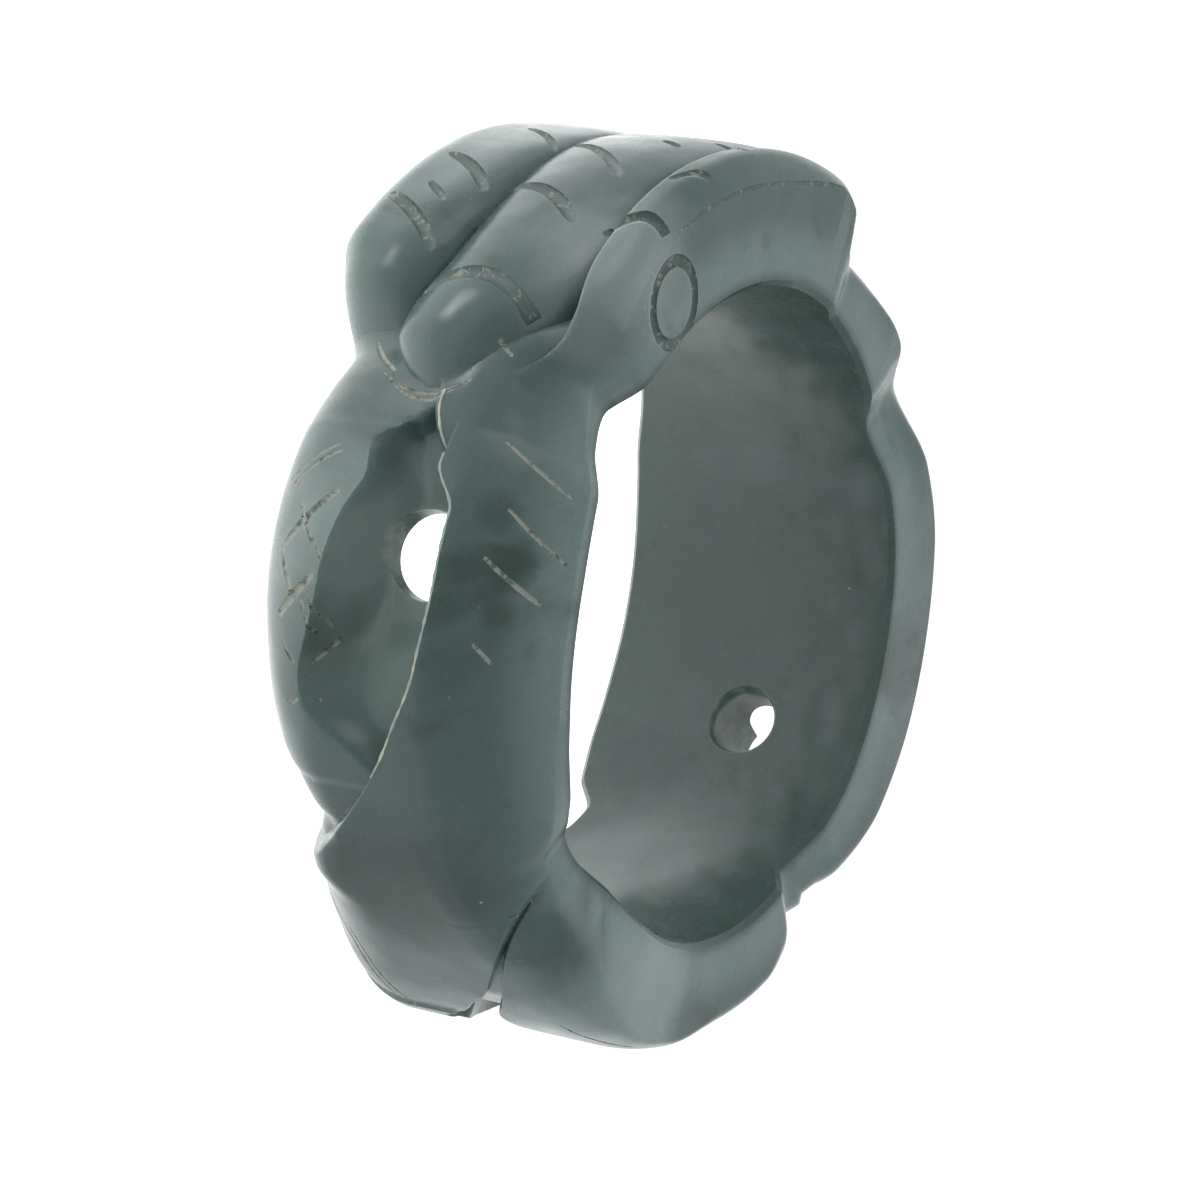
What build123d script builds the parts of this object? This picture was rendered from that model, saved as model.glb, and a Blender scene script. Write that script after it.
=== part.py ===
"""A finger ring carved from one piece of jade.

The band is a twist of two strands. Each strand comes out at the near rim from under its
neighbour, runs over it to the far rim and dives under the next, so that it is on top for half
a turn. Four such runs, a quarter turn apart, go round the finger bore, and each gap between
two strands is a scooped lens. Three of the lenses are drilled through to the bore, and the
fourth lies under the head: a raised block of three ridges side by side, with a rounded nose
at its front, a square back end, wheel cuts across the ridges and an engraved eye.

Frame: origin at the middle of the finger bore, +Z along the bore to the near rim, and the
head over -X. The ring lies on its far rim. Angles are in degrees round +Z, from +X.
"""

from build123d import *
import math
import os

# Driving sizes, in millimetres
bore_diameter = 18.0  # finger bore
band_width = 8.75  # from the far rim to the near rim
strand_wall = 3.1  # from the bore to the crest of a strand
head_rise = 0.62  # of the head's ridges above the strands
lens_floor = 0.45  # thin wall left at the bottom of a scooped lens
drill_diameter = 2.25  # holes through the lenses
eye_diameter = 2.5  # engraved ring on each side face of the head, across its outside
eye_line = 0.33  # width of the eye's groove
eye_depth = 0.18
cut_width = 0.42  # wheel cuts across the ridges, at their middle
cut_depth = 0.26

# How finely the carved outside is faceted
columns = 200  # round the ring
rows = 23  # from rim to rim
corner_steps = (0.0, 0.1, 0.4)  # where the rows by a rim fall, as shares of its rounded corner
corner_reach = 0.3  # share of the half width that counts as the corner of a very round rim
side_reach = 0.10  # rows follow a ridge side at its foot and this far in from it at most
least_gap = 0.02  # between two rows, as a share of the half width

bore_radius = bore_diameter / 2
half_width = band_width / 2

# A run of a strand. Heights are shares of the strand wall, the rest shares of the half width.
#   turn: degrees after the crossing where the strand comes out
#   far, near: where its edges lie across the band, from -1 at the far rim to 1 at the near rim
#   crest: height of its top over the bore
#   soft_far, soft_near: how far in from each edge it is rounded over
#   scoop: width of the hollowed slope below its near edge
crossings = (41, 131, 221, 311)
strand_run = (
    dict(turn=-6, far=0.98, near=1.50, crest=0.60, soft_far=0.15, soft_near=0.30, scoop=0.00),
    dict(turn=2, far=0.84, near=1.50, crest=0.74, soft_far=0.15, soft_near=0.30, scoop=0.00),
    dict(turn=12, far=0.53, near=1.50, crest=0.90, soft_far=0.10, soft_near=0.30, scoop=0.00),
    dict(turn=20, far=0.40, near=1.50, crest=0.96, soft_far=0.06, soft_near=0.30, scoop=0.00),
    dict(turn=25, far=0.32, near=1.50, crest=0.98, soft_far=0.05, soft_near=0.30, scoop=0.00),
    dict(turn=30, far=0.20, near=1.50, crest=0.98, soft_far=0.05, soft_near=0.30, scoop=0.00),
    dict(turn=36, far=0.18, near=1.50, crest=0.97, soft_far=0.05, soft_near=0.30, scoop=0.00),
    dict(turn=42, far=0.32, near=1.50, crest=0.97, soft_far=0.05, soft_near=0.30, scoop=0.00),
    dict(turn=50, far=0.32, near=1.50, crest=0.98, soft_far=0.05, soft_near=0.30, scoop=0.00),
    dict(turn=62, far=0.26, near=1.50, crest=1.00, soft_far=0.05, soft_near=0.30, scoop=0.00),
    dict(turn=70, far=0.12, near=1.50, crest=1.00, soft_far=0.05, soft_near=0.30, scoop=0.00),
    dict(turn=74, far=0.02, near=1.50, crest=1.00, soft_far=0.06, soft_near=0.30, scoop=0.00),
    dict(turn=84, far=-0.33, near=1.25, crest=1.00, soft_far=0.08, soft_near=0.20, scoop=0.00),
    dict(turn=92, far=-0.72, near=0.95, crest=1.00, soft_far=0.12, soft_near=0.10, scoop=0.00),
    dict(turn=98, far=-1.20, near=0.74, crest=1.00, soft_far=0.20, soft_near=0.07, scoop=0.00),
    dict(turn=108, far=-1.50, near=0.48, crest=1.00, soft_far=0.30, soft_near=0.07, scoop=0.00),
    dict(turn=113, far=-1.50, near=0.35, crest=1.00, soft_far=0.30, soft_near=0.07, scoop=0.00),
    dict(turn=118, far=-1.50, near=0.14, crest=0.99, soft_far=0.30, soft_near=0.16, scoop=0.12),
    dict(turn=124, far=-1.50, near=-0.02, crest=0.99, soft_far=0.30, soft_near=0.22, scoop=0.34),
    dict(turn=130, far=-1.50, near=-0.20, crest=0.99, soft_far=0.30, soft_near=0.04, scoop=0.22),
    dict(turn=136, far=-1.50, near=-0.32, crest=0.98, soft_far=0.30, soft_near=0.03, scoop=0.18),
    dict(turn=143, far=-1.50, near=-0.37, crest=0.98, soft_far=0.30, soft_near=0.03, scoop=0.20),
    dict(turn=150, far=-1.50, near=-0.35, crest=0.97, soft_far=0.30, soft_near=0.10, scoop=0.40),
    dict(turn=156, far=-1.50, near=-0.16, crest=0.96, soft_far=0.30, soft_near=0.34, scoop=0.70),
    dict(turn=161, far=-1.50, near=0.12, crest=0.95, soft_far=0.30, soft_near=0.50, scoop=0.60),
    dict(turn=166, far=-1.50, near=0.45, crest=0.93, soft_far=0.30, soft_near=0.50, scoop=0.30),
    dict(turn=172, far=-1.50, near=0.80, crest=0.90, soft_far=0.30, soft_near=0.40, scoop=0.00),
    dict(turn=184, far=-1.50, near=1.20, crest=0.75, soft_far=0.30, soft_near=0.60, scoop=0.00),
    dict(turn=192, far=-1.50, near=1.50, crest=0.55, soft_far=0.30, soft_near=0.60, scoop=0.00),
)

full_scoop = 0.15  # a near edge hollowed at least this wide has lost its rounding
fillet = 1.2  # between a hollow and the lens floor

# The band's two rims, and how thick it is there, by angle.
#   near, far: how far each rim face stands out, as a share of the half width
#   near_lip, far_lip: height of the rim face's outer edge, as a share of the strand wall
#   near_soft, far_soft: share of the half width over which each corner is rounded
#   crease: from 0, a rounded near corner, to 1, one that is cut as a bevel
#   wall: local thickness of the strands, as a share of the strand wall
rim = (
    dict(angle=0, near=0.98, far=1.00, near_lip=0.84, near_soft=0.26, crease=0.0, far_lip=0.62, far_soft=0.30, wall=0.98),
    dict(angle=14, near=0.97, far=1.00, near_lip=0.69, near_soft=0.22, crease=0.0, far_lip=0.55, far_soft=0.30, wall=0.88),
    dict(angle=28, near=0.97, far=0.97, near_lip=0.66, near_soft=0.18, crease=0.0, far_lip=0.45, far_soft=0.35, wall=0.87),
    dict(angle=34, near=0.97, far=0.90, near_lip=0.44, near_soft=0.20, crease=0.0, far_lip=0.30, far_soft=0.35, wall=0.85),
    dict(angle=37, near=0.92, far=0.83, near_lip=0.24, near_soft=0.24, crease=0.0, far_lip=0.20, far_soft=0.35, wall=0.82),
    dict(angle=40.5, near=0.85, far=0.77, near_lip=0.14, near_soft=0.25, crease=0.0, far_lip=0.15, far_soft=0.35, wall=0.80),
    dict(angle=46, near=0.90, far=0.74, near_lip=0.34, near_soft=0.20, crease=0.0, far_lip=0.12, far_soft=0.35, wall=0.82),
    dict(angle=53, near=0.97, far=0.90, near_lip=0.54, near_soft=0.14, crease=0.0, far_lip=0.30, far_soft=0.35, wall=0.90),
    dict(angle=65, near=1.00, far=0.98, near_lip=0.81, near_soft=0.12, crease=0.0, far_lip=0.45, far_soft=0.35, wall=0.95),
    dict(angle=80, near=1.00, far=1.00, near_lip=0.90, near_soft=0.12, crease=0.0, far_lip=0.50, far_soft=0.35, wall=0.97),
    dict(angle=104, near=0.99, far=1.00, near_lip=0.90, near_soft=0.12, crease=0.0, far_lip=0.50, far_soft=0.35, wall=0.97),
    dict(angle=117, near=0.96, far=0.98, near_lip=0.80, near_soft=0.14, crease=0.0, far_lip=0.50, far_soft=0.35, wall=0.93),
    dict(angle=130, near=0.83, far=0.88, near_lip=0.55, near_soft=0.20, crease=0.0, far_lip=0.30, far_soft=0.35, wall=0.90),
    dict(angle=139, near=0.93, far=0.82, near_lip=0.73, near_soft=0.20, crease=0.0, far_lip=0.25, far_soft=0.35, wall=0.90),
    dict(angle=150, near=0.94, far=0.95, near_lip=0.57, near_soft=0.20, crease=0.0, far_lip=0.45, far_soft=0.35, wall=0.75),
    dict(angle=161, near=0.94, far=0.98, near_lip=0.44, near_soft=0.20, crease=0.0, far_lip=0.55, far_soft=0.30, wall=0.62),
    dict(angle=165.3, near=0.99, far=1.00, near_lip=0.56, near_soft=0.16, crease=0.5, far_lip=0.62, far_soft=0.30, wall=0.62),
    dict(angle=167.4, near=1.00, far=1.00, near_lip=0.93, near_soft=0.16, crease=1.0, far_lip=0.88, far_soft=0.30, wall=0.62),
    dict(angle=172, near=1.00, far=1.00, near_lip=1.02, near_soft=0.16, crease=1.0, far_lip=0.90, far_soft=0.30, wall=0.62),
    dict(angle=189.5, near=1.00, far=1.00, near_lip=0.88, near_soft=0.16, crease=1.0, far_lip=0.90, far_soft=0.30, wall=0.62),
    dict(angle=205, near=1.00, far=1.00, near_lip=0.92, near_soft=0.16, crease=1.0, far_lip=0.95, far_soft=0.25, wall=0.62),
    dict(angle=218, near=1.00, far=1.00, near_lip=0.87, near_soft=0.18, crease=0.8, far_lip=0.95, far_soft=0.25, wall=0.62),
    dict(angle=228, near=1.00, far=1.00, near_lip=0.80, near_soft=0.22, crease=0.4, far_lip=0.95, far_soft=0.25, wall=0.62),
    dict(angle=233, near=0.98, far=0.96, near_lip=0.62, near_soft=0.28, crease=0.3, far_lip=0.70, far_soft=0.28, wall=0.64),
    dict(angle=241, near=0.80, far=0.90, near_lip=0.34, near_soft=0.50, crease=0.9, far_lip=0.10, far_soft=0.55, wall=0.70),
    dict(angle=247, near=0.84, far=0.94, near_lip=0.24, near_soft=0.65, crease=1.0, far_lip=0.10, far_soft=0.60, wall=0.80),
    dict(angle=256, near=0.97, far=0.99, near_lip=0.20, near_soft=0.80, crease=1.0, far_lip=0.16, far_soft=0.60, wall=0.88),
    dict(angle=270, near=1.00, far=1.00, near_lip=0.20, near_soft=0.85, crease=1.0, far_lip=0.20, far_soft=0.60, wall=0.96),
    dict(angle=290, near=0.98, far=0.95, near_lip=0.22, near_soft=0.85, crease=1.0, far_lip=0.14, far_soft=0.58, wall=0.98),
    dict(angle=297, near=0.96, far=0.90, near_lip=0.26, near_soft=0.82, crease=0.9, far_lip=0.08, far_soft=0.52, wall=0.97),
    dict(angle=300.5, near=0.95, far=0.83, near_lip=0.28, near_soft=0.80, crease=0.9, far_lip=0.06, far_soft=0.46, wall=0.97),
    dict(angle=305, near=0.93, far=0.75, near_lip=0.30, near_soft=0.76, crease=0.8, far_lip=0.04, far_soft=0.40, wall=0.97),
    dict(angle=308, near=0.90, far=0.64, near_lip=0.32, near_soft=0.70, crease=0.7, far_lip=0.04, far_soft=0.34, wall=0.97),
    dict(angle=310.5, near=0.87, far=0.72, near_lip=0.34, near_soft=0.64, crease=0.6, far_lip=0.04, far_soft=0.30, wall=0.97),
    dict(angle=314, near=0.82, far=0.79, near_lip=0.36, near_soft=0.56, crease=0.5, far_lip=0.04, far_soft=0.34, wall=0.97),
    dict(angle=320, near=0.84, far=0.87, near_lip=0.38, near_soft=0.50, crease=0.4, far_lip=0.04, far_soft=0.60, wall=0.97),
    dict(angle=328, near=0.98, far=0.96, near_lip=0.50, near_soft=0.50, crease=0.3, far_lip=0.10, far_soft=0.70, wall=0.98),
    dict(angle=342, near=1.03, far=0.99, near_lip=0.78, near_soft=0.40, crease=0.0, far_lip=0.40, far_soft=0.55, wall=1.06),
    dict(angle=351, near=1.01, far=1.00, near_lip=0.86, near_soft=0.32, crease=0.0, far_lip=0.55, far_soft=0.40, wall=1.04),
)

# The head's ridges, back end first. The middle one runs out past the others as the nose, over
# the neck, which the near strand grows out of.
#   far, near: edges, as shares of the half width
#   crest: height of its top, as a share of the head's whole height
#   foot: height of the valleys beside it, as a share of its crest
#   soft_far, soft_near: share of the half width over which each flank is rounded
far_ridge = (
    dict(angle=162, far=-1.05, near=-0.20, crest=0.30, foot=0.97, soft_far=0.32, soft_near=0.30),
    dict(angle=165.3, far=-1.05, near=-0.20, crest=0.52, foot=0.97, soft_far=0.32, soft_near=0.30),
    dict(angle=167.4, far=-1.05, near=-0.20, crest=0.86, foot=0.97, soft_far=0.32, soft_near=0.30),
    dict(angle=170, far=-1.05, near=-0.20, crest=0.95, foot=0.97, soft_far=0.32, soft_near=0.30),
    dict(angle=180, far=-1.05, near=-0.18, crest=0.99, foot=0.96, soft_far=0.32, soft_near=0.32),
    dict(angle=192, far=-1.05, near=-0.17, crest=1.01, foot=0.93, soft_far=0.32, soft_near=0.33),
    dict(angle=205, far=-1.05, near=-0.16, crest=1.03, foot=0.88, soft_far=0.32, soft_near=0.34),
    dict(angle=218, far=-1.05, near=-0.15, crest=1.04, foot=0.82, soft_far=0.32, soft_near=0.36),
    dict(angle=228, far=-1.05, near=-0.20, crest=1.04, foot=0.77, soft_far=0.32, soft_near=0.36),
    dict(angle=234, far=-1.02, near=-0.28, crest=0.95, foot=0.72, soft_far=0.32, soft_near=0.36),
    dict(angle=238, far=-0.94, near=-0.36, crest=0.68, foot=0.70, soft_far=0.32, soft_near=0.36),
    dict(angle=240, far=-0.84, near=-0.44, crest=0.20, foot=0.70, soft_far=0.32, soft_near=0.36),
)
middle_ridge = (
    dict(angle=162, far=-0.24, near=0.75, crest=0.30, foot=0.97, soft_far=0.36, soft_near=0.40),
    dict(angle=165.3, far=-0.24, near=0.75, crest=0.52, foot=0.97, soft_far=0.36, soft_near=0.40),
    dict(angle=167.4, far=-0.24, near=0.75, crest=0.86, foot=0.97, soft_far=0.36, soft_near=0.40),
    dict(angle=170, far=-0.24, near=0.75, crest=0.95, foot=0.97, soft_far=0.36, soft_near=0.40),
    dict(angle=180, far=-0.22, near=0.75, crest=0.99, foot=0.96, soft_far=0.38, soft_near=0.42),
    dict(angle=192, far=-0.21, near=0.75, crest=1.00, foot=0.93, soft_far=0.39, soft_near=0.43),
    dict(angle=205, far=-0.20, near=0.74, crest=1.01, foot=0.88, soft_far=0.40, soft_near=0.44),
    dict(angle=218, far=-0.20, near=0.73, crest=1.00, foot=0.83, soft_far=0.42, soft_near=0.44),
    dict(angle=228, far=-0.24, near=0.71, crest=0.98, foot=0.78, soft_far=0.42, soft_near=0.44),
    dict(angle=234, far=-0.33, near=0.62, crest=0.95, foot=0.73, soft_far=0.44, soft_near=0.44),
    dict(angle=237, far=-0.38, near=0.50, crest=0.92, foot=0.70, soft_far=0.42, soft_near=0.42),
    dict(angle=240, far=-0.41, near=0.38, crest=0.88, foot=0.66, soft_far=0.38, soft_near=0.38),
    dict(angle=243, far=-0.34, near=0.30, crest=0.81, foot=0.70, soft_far=0.32, soft_near=0.32),
    dict(angle=245.4, far=-0.23, near=0.22, crest=0.74, foot=0.80, soft_far=0.24, soft_near=0.24),
    dict(angle=246.8, far=-0.10, near=0.14, crest=0.68, foot=0.90, soft_far=0.12, soft_near=0.12),
    dict(angle=247.6, far=-0.02, near=0.06, crest=0.60, foot=0.90, soft_far=0.04, soft_near=0.04),
)
near_ridge = (
    dict(angle=162, far=0.72, near=1.60, crest=0.30, foot=0.97, soft_far=0.06, soft_near=0.20),
    dict(angle=165.3, far=0.72, near=1.60, crest=0.54, foot=0.97, soft_far=0.06, soft_near=0.20),
    dict(angle=167.4, far=0.72, near=1.60, crest=0.88, foot=0.97, soft_far=0.06, soft_near=0.20),
    dict(angle=170, far=0.72, near=1.60, crest=0.97, foot=0.96, soft_far=0.06, soft_near=0.20),
    dict(angle=180, far=0.72, near=1.60, crest=0.97, foot=0.95, soft_far=0.06, soft_near=0.20),
    dict(angle=212, far=0.70, near=1.60, crest=0.97, foot=0.82, soft_far=0.06, soft_near=0.20),
    dict(angle=228, far=0.70, near=1.60, crest=0.93, foot=0.72, soft_far=0.05, soft_near=0.20),
    dict(angle=234, far=0.72, near=1.60, crest=0.88, foot=0.68, soft_far=0.05, soft_near=0.20),
    dict(angle=237, far=0.68, near=1.60, crest=0.84, foot=0.80, soft_far=0.05, soft_near=0.20),
    dict(angle=239.4, far=0.60, near=1.60, crest=0.80, foot=0.88, soft_far=0.08, soft_near=0.20),
    dict(angle=242, far=0.50, near=1.60, crest=0.75, foot=0.94, soft_far=0.30, soft_near=0.20),
    dict(angle=245, far=0.40, near=1.60, crest=0.70, foot=0.98, soft_far=0.40, soft_near=0.20),
    dict(angle=246, far=0.40, near=1.60, crest=0.66, foot=0.98, soft_far=0.40, soft_near=0.20),
)
neck = (
    dict(angle=232, far=0.10, near=1.60, crest=0.60, foot=1.00, soft_far=0.20, soft_near=0.20),
    dict(angle=238, far=0.05, near=1.60, crest=0.70, foot=1.00, soft_far=0.20, soft_near=0.20),
    dict(angle=245, far=0.05, near=1.60, crest=0.71, foot=1.00, soft_far=0.10, soft_near=0.20),
    dict(angle=249, far=0.04, near=1.60, crest=0.70, foot=0.95, soft_far=0.05, soft_near=0.20),
    dict(angle=252, far=0.08, near=1.60, crest=0.685, foot=0.92, soft_far=0.05, soft_near=0.20),
    dict(angle=256, far=0.18, near=1.60, crest=0.60, foot=0.92, soft_far=0.05, soft_near=0.20),
)
head = (far_ridge, middle_ridge, near_ridge, neck)

# How far the floor of a lens has climbed, from the thin wall at 0 to the lens's ends at 1
#   turn: degrees after the crossing where the lens begins
lens = (
    dict(turn=20, climb=1.00),
    dict(turn=28, climb=0.92),
    dict(turn=33, climb=0.75),
    dict(turn=37, climb=0.42),
    dict(turn=41, climb=0.08),
    dict(turn=45, climb=0.00),
    dict(turn=53, climb=0.00),
    dict(turn=57, climb=0.14),
    dict(turn=62, climb=0.50),
    dict(turn=68, climb=0.84),
    dict(turn=76, climb=1.00),
)
lens_end = 0.70  # height of the lens's ends, as a share of the strand wall

# Drilled holes, one to a lens: where, by angle and as a share of the half width, and how wide, as
# a share of the drill's diameter
holes = (
    dict(angle=268.6, across=0.0, wide=1.0),
    dict(angle=357.0, across=0.0, wide=1.0),
    dict(angle=70.5, across=0.1, wide=0.86),
)

# Wheel cuts across the ridges, from end to end, by angle and as shares of the half width, with
# how many degrees each one's middle is bowed by
wheel_cuts = (
    dict(angle=199.7, across=-0.53, to_angle=204.7, to_across=-0.18, bow=-0.6),
    dict(angle=212.1, across=-0.7, to_angle=219, to_across=-0.24, bow=-0.8),
    dict(angle=222.5, across=-0.82, to_angle=230.2, to_across=-0.3, bow=-0.8),
    dict(angle=201.7, across=-0.18, to_angle=212.6, to_across=0.5, bow=-1.4),
    dict(angle=216, across=-0.16, to_angle=223.4, to_across=0.485, bow=-1.8),
    dict(angle=235.6, across=-0.31, to_angle=236.9, to_across=0.5, bow=-3.2),
    dict(angle=206.6, across=0.95, to_angle=210.8, to_across=0.78, bow=-1),
    dict(angle=219.5, across=0.99, to_angle=222.9, to_across=0.69, bow=-1.4),
)

# The eye on the near side face, and its twin on the far one
eye_angle = 222
eye_height = 0.347  # of its middle over the bore, as a share of the head's whole height


def read(table, key, at, name):
    """One column of a table at any place between its rows, smooth and without overshoot."""
    if at <= table[0][key]:
        return table[0][name]
    if at >= table[-1][key]:
        return table[-1][name]
    i = max(k for k in range(len(table) - 1) if table[k][key] <= at)

    def slope(k):
        rise = table[k + 1][name] - table[k][name]
        return rise / (table[k + 1][key] - table[k][key])

    def slope_at(k):
        if k == 0 or k == len(table) - 1:
            return slope(i)
        before, after = slope(k - 1), slope(k)
        return 0.0 if before * after <= 0 else 2 * before * after / (before + after)

    span = table[i + 1][key] - table[i][key]
    t = (at - table[i][key]) / span
    start = (1 + 2 * t) * (1 - t) ** 2 * table[i][name]
    end = (3 - 2 * t) * t**2 * table[i + 1][name]
    leave = t * (1 - t) ** 2 * span * slope_at(i)
    arrive = (t - 1) * t**2 * span * slope_at(i + 1)
    return start + end + leave + arrive


def all_round(table):
    """The same table with its last row put before it and its first row after it, a turn on."""
    before = dict(table[-1], angle=table[-1]["angle"] - 360)
    after = dict(table[0], angle=table[0]["angle"] + 360)
    return (before, *table, after)


def shoulder(inside, soft):
    """A quarter round: 0 at an edge, 1 from the distance soft inwards."""
    if inside <= 0:
        return 0.0
    if inside >= soft:
        return 1.0
    return math.sqrt(1 - (1 - inside / soft) ** 2)


rim_loop = all_round(rim)


def section(angle):
    """What the tables say at one angle: the rims, the lens floor and the ridges."""
    here = {name: read(rim_loop, "angle", angle, name) for name in rim[0] if name != "angle"}
    ridges = []
    for crossing in crossings:
        turn = (angle - crossing + 60) % 360 - 60
        if strand_run[0]["turn"] < turn < strand_run[-1]["turn"]:
            ridge = {name: read(strand_run, "turn", turn, name) for name in strand_run[0]}
            ridge["crest"] *= here["wall"] * strand_wall
            ridge["foot"] = 0.0
            ridges.append(ridge)
    for table in head:
        if table[0]["angle"] < angle < table[-1]["angle"]:
            ridge = {name: read(table, "angle", angle, name) for name in table[0]}
            ridge["crest"] *= strand_wall + head_rise
            ridge["scoop"] = 0.0
            ridges.append(ridge)
    here["ridges"] = ridges
    climb = read(lens, "turn", (angle - crossings[0]) % 90, "climb")
    here["floor"] = lens_floor + climb * (lens_end * strand_wall - lens_floor)
    return here


def rise(ridge, across):
    """How far one ridge stands over the bore at a place across it, or 0 beside it."""
    top = 0.0
    from_far = shoulder(across - ridge["far"], ridge["soft_far"])
    if across < ridge["near"]:
        from_near = shoulder(ridge["near"] - across, ridge["soft_near"])
        if from_far > 0:
            top = ridge["crest"] * (ridge["foot"] + (1 - ridge["foot"]) * from_far * from_near)
    if ridge["scoop"] > 0:
        beyond = min(1.0, max(0.0, across - ridge["near"] + ridge["soft_near"]) / ridge["scoop"])
        ease = min(1.0, ridge["soft_near"] / ridge["scoop"])
        hollow = ridge["crest"] * from_far * (1 - beyond) ** 2 * (1 + 2 * ease * beyond)
        top += min(1.0, ridge["scoop"] / full_scoop) * (hollow - top)
    return top


def height(here, across):
    """How far the carved surface stands over the bore, at a place across one section."""
    top = here["floor"]
    for ridge in here["ridges"]:
        over = rise(ridge, across)
        blend = fillet * min(1.0, ridge["scoop"] / full_scoop) + 1e-6
        filled = max(0.0, blend - abs(top - over)) ** 2 / (4 * blend)
        top = max(top, over) + filled
    inside, lip = here["far"] + across, here["far_lip"] * strand_wall
    top = min(top, lip + max(0.0, top - lip) * shoulder(inside, here["far_soft"]))
    inside, lip = here["near"] - across, here["near_lip"] * strand_wall
    bevel = 1 - max(0.0, 1 - max(0.0, inside) / here["near_soft"]) ** 2
    corner = shoulder(inside, here["near_soft"])
    corner += here["crease"] * (bevel - corner)
    return min(top, lip + max(0.0, top - lip) * corner)


def ridge_sides(here):
    """The foot and the lip of each ridge side that shows in a section, from far to near."""
    sides = []
    for ridge in here["ridges"]:
        lip = ridge["far"] + min(side_reach, ridge["soft_far"])
        sides.append((ridge["far"], lip, rise(ridge, lip)))
        lip = ridge["near"] - min(side_reach, ridge["soft_near"])
        sides.append((lip, ridge["near"], rise(ridge, lip)))
    seen = [
        (low, high)
        for low, high, top in sides
        if max(rise(ridge, (low + high) / 2) for ridge in here["ridges"]) <= top + 0.01 * strand_wall
    ]
    return sorted(seen)


def stations(here):
    """Places across a section, rim to rim, with a pair of them at each ridge side that shows."""
    far_corner = min(here["far_soft"], corner_reach)
    near_corner = min(here["near_soft"], corner_reach)
    far_end = [far_corner * step - here["far"] for step in corner_steps]
    near_end = [here["near"] - near_corner * step for step in corner_steps[::-1]]
    first, last = len(far_end), rows - len(near_end)  # the rows that may move onto a ridge side
    step = (near_end[0] - far_end[-1]) / (last - first + 2)
    places = far_end + [far_end[-1] + step * k for k in range(1, last - first + 2)] + near_end
    free = set(range(first, last))
    for foot, lip in ridge_sides(here):
        fits = [
            row
            for row in free
            if places[row - 1] < foot - least_gap and lip + least_gap < places[row + 2]
        ]
        if fits:
            row = min(fits, key=lambda row: abs(places[row] + places[row + 1] - foot - lip))
            places[row], places[row + 1] = foot, lip
            free -= {row - 1, row, row + 1}
    return places


def place(angle, radius, z):
    turn = math.radians(angle)
    return Vector(radius * math.cos(turn), radius * math.sin(turn), z)


def outline(angle):
    """One section's closed outline: up the far rim, over the carved outside, down the near rim."""
    here = section(angle)
    core = bore_radius - lens_floor  # inside the bore, which is cut to its true size later
    points = [place(angle, core, -here["far"] * half_width)]
    for across in stations(here):
        points.append(place(angle, bore_radius + height(here, across), across * half_width))
    points.append(place(angle, core, here["near"] * half_width))
    return points


def triangles(a, b, c, d):
    """A four-cornered patch as two triangles, split along its shorter diagonal."""
    if (a - c).length < (b - d).length:
        corners = ((a, b, c), (a, c, d))
    else:
        corners = ((a, b, d), (b, c, d))
    return [Face(Wire.make_polygon(three, close=True)) for three in corners]


def carved_blank():
    """The faceted ring before its bore, holes and cuts."""
    sections = [outline(360 * column / columns) for column in range(columns)]
    faces = []
    for this, after in zip(sections, sections[1:] + sections[:1]):
        for k in range(len(this)):
            n = (k + 1) % len(this)
            faces += triangles(this[k], after[k], after[n], this[n])
    return Solid(Shell(faces))


def drilled_hole(angle, across, wide):
    reach = 2 * strand_wall
    middle = place(angle, bore_radius, across * half_width)
    outward = place(angle, 1, 0)
    return Plane(origin=middle, z_dir=outward) * Cylinder(wide * drill_diameter / 2, reach)


def wheel_cut(angle, across, to_angle, to_across, bow):
    """A leaf-shaped groove along the surface: a V that is widest and deepest at its middle."""
    sides = 6
    left, right, bottom = [], [], []
    clear = 2 * cut_depth  # how far the cutter stands out of the surface
    for k in range(sides + 1):
        share = k / sides
        at = angle + share * (to_angle - angle) + 4 * share * (1 - share) * bow
        z_share = across + share * (to_across - across)
        top = bore_radius + height(section(at), z_share)
        along = place(to_angle, top, to_across * half_width) - place(angle, top, across * half_width)
        sideways = along.cross(place(at, 1, 0)).normalized()
        swell = max(math.sin(math.pi * share), 0.08)
        surface = place(at, top, z_share * half_width)
        outward = place(at, 1, 0)
        slope = (cut_depth * swell + clear) / (cut_depth * swell)
        half = cut_width / 2 * swell * slope
        left.append(surface + outward * clear + sideways * half)
        right.append(surface + outward * clear - sideways * half)
        bottom.append(surface - outward * cut_depth * swell)
    faces = []
    for k in range(sides):
        for one, two in ((left, right), (right, bottom), (bottom, left)):
            faces += triangles(one[k], one[k + 1], two[k + 1], two[k])
    for k in (0, sides):
        faces.append(Face(Wire.make_polygon((left[k], right[k], bottom[k]), close=True)))
    return Solid(Shell(faces))


def eye_groove(side):
    """The engraved ring of an eye on a side face of the head, side +1 near and -1 far."""
    radius = bore_radius + eye_height * (strand_wall + head_rise)
    middle = place(eye_angle, radius, side * half_width)
    ring = Cylinder(eye_diameter / 2, 2 * eye_depth)
    ring -= Cylinder(eye_diameter / 2 - eye_line, 3 * eye_depth)
    return Pos(*middle) * ring


def carved_ring():
    cutters = [Cylinder(bore_radius, 2 * band_width)]
    cutters += [drilled_hole(**hole) for hole in holes]
    cutters += [wheel_cut(**cut) for cut in wheel_cuts]
    cutters += [eye_groove(side) for side in (1, -1)]
    return carved_blank().cut(*[solid for cutter in cutters for solid in cutter.solids()])


os.makedirs("parts", exist_ok=True)
export_step(carved_ring(), "parts/carved_ring.step")
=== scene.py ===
"""A carved jade finger ring, lying on its far rim on a pale table."""

import math

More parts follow.
